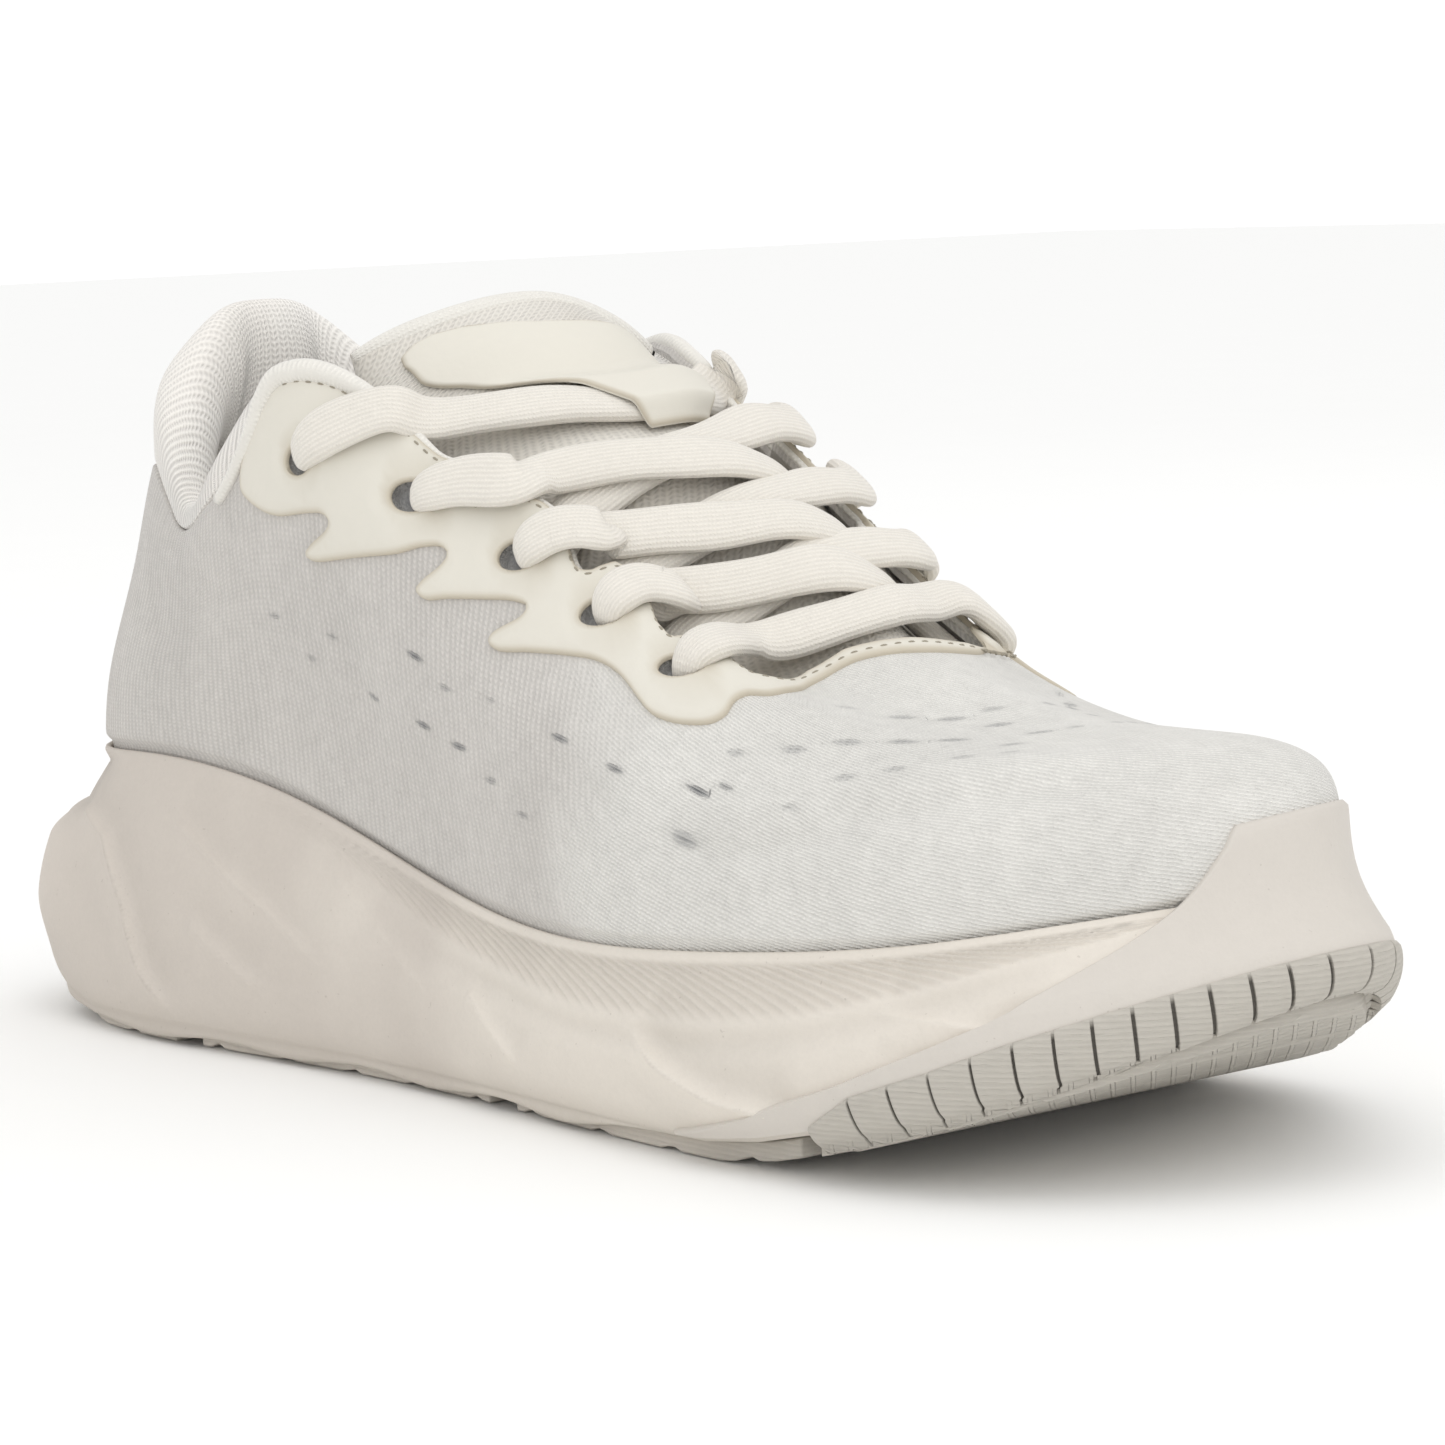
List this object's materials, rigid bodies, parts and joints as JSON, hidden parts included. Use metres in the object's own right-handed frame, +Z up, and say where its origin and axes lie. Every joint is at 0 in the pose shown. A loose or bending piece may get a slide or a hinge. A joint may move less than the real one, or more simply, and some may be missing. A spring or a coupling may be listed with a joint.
{
  "type": "running shoe",
  "caption": "Right-foot cushioned running shoe: rockered foam midsole with rubber tread pads, knit upper, padded collar, folding tongue tip, lift-out sockliner and flat lace.",
  "frame": {"origin": "bottom centre of the whole shoe's bounding box, on the ground", "axes": "+X to the toe, +Y to the medial (inner) side of the foot, +Z up"},
  "size_m": [0.295, 0.1046, 0.1234],
  "materials": {
    "midsole_foam": "matte moulded foam, warm ivory",
    "outsole_rubber": "matte blown rubber, greyer ivory",
    "bumper_rubber": "matte moulded rubber, warm ivory",
    "board": "non-woven board",
    "knit": "fine engineered knit, cool grey white",
    "lining_mesh": "soft mesh",
    "stiffener": "thermoplastic sheet",
    "collar_knit": "ribbed knit over foam",
    "overlay_film": "smooth moulded film, ivory",
    "tongue_mesh": "ribbed mesh",
    "lace_cord": "padded flat knit",
    "aglet": "clear film tip",
    "sockliner_foam": "brushed cloth on foam"
  },
  "bodies": {
    "root": {"midsole": "midsole_foam", "outsole_heel_lateral": "outsole_rubber", "outsole_midfoot_lateral": "outsole_rubber", "outsole_heel_medial": "outsole_rubber", "outsole_midfoot_medial": "outsole_rubber", "outsole_forefoot": "outsole_rubber", "outsole_toe": "outsole_rubber", "toe_bumper": "bumper_rubber", "strobel_board": "board", "upper_knit": "knit", "lining": "lining_mesh", "toe_puff": "stiffener", "heel_counter": "stiffener", "collar_roll": "collar_knit", "eyestay_overlay": "overlay_film", "tongue_body": "tongue_mesh", "tongue_lining": "lining_mesh", "lace_keeper": "overlay_film", "lace": "lace_cord", "aglet_upper": "aglet", "aglet_lower": "aglet"},
    "sockliner": {"sockliner": "sockliner_foam"},
    "tongue_tip": {"tongue_tip": "tongue_mesh", "tongue_overlay": "overlay_film"}
  },
  "joints": [
    {"name": "sockliner_lift", "type": "hinge", "parent": "root", "child": "sockliner", "pos_m": [0.1238, 0, 0.0288], "axis": [0, 1, 0], "range_deg": [0, 6]},
    {"name": "tongue_tip_fold", "type": "hinge", "parent": "root", "child": "tongue_tip", "pos_m": [-0.0274, 0, 0.1062], "axis": [0, 1, 0], "range_deg": [-9, 12], "stiffness_Nm_per_rad": 0.05}
  ]
}
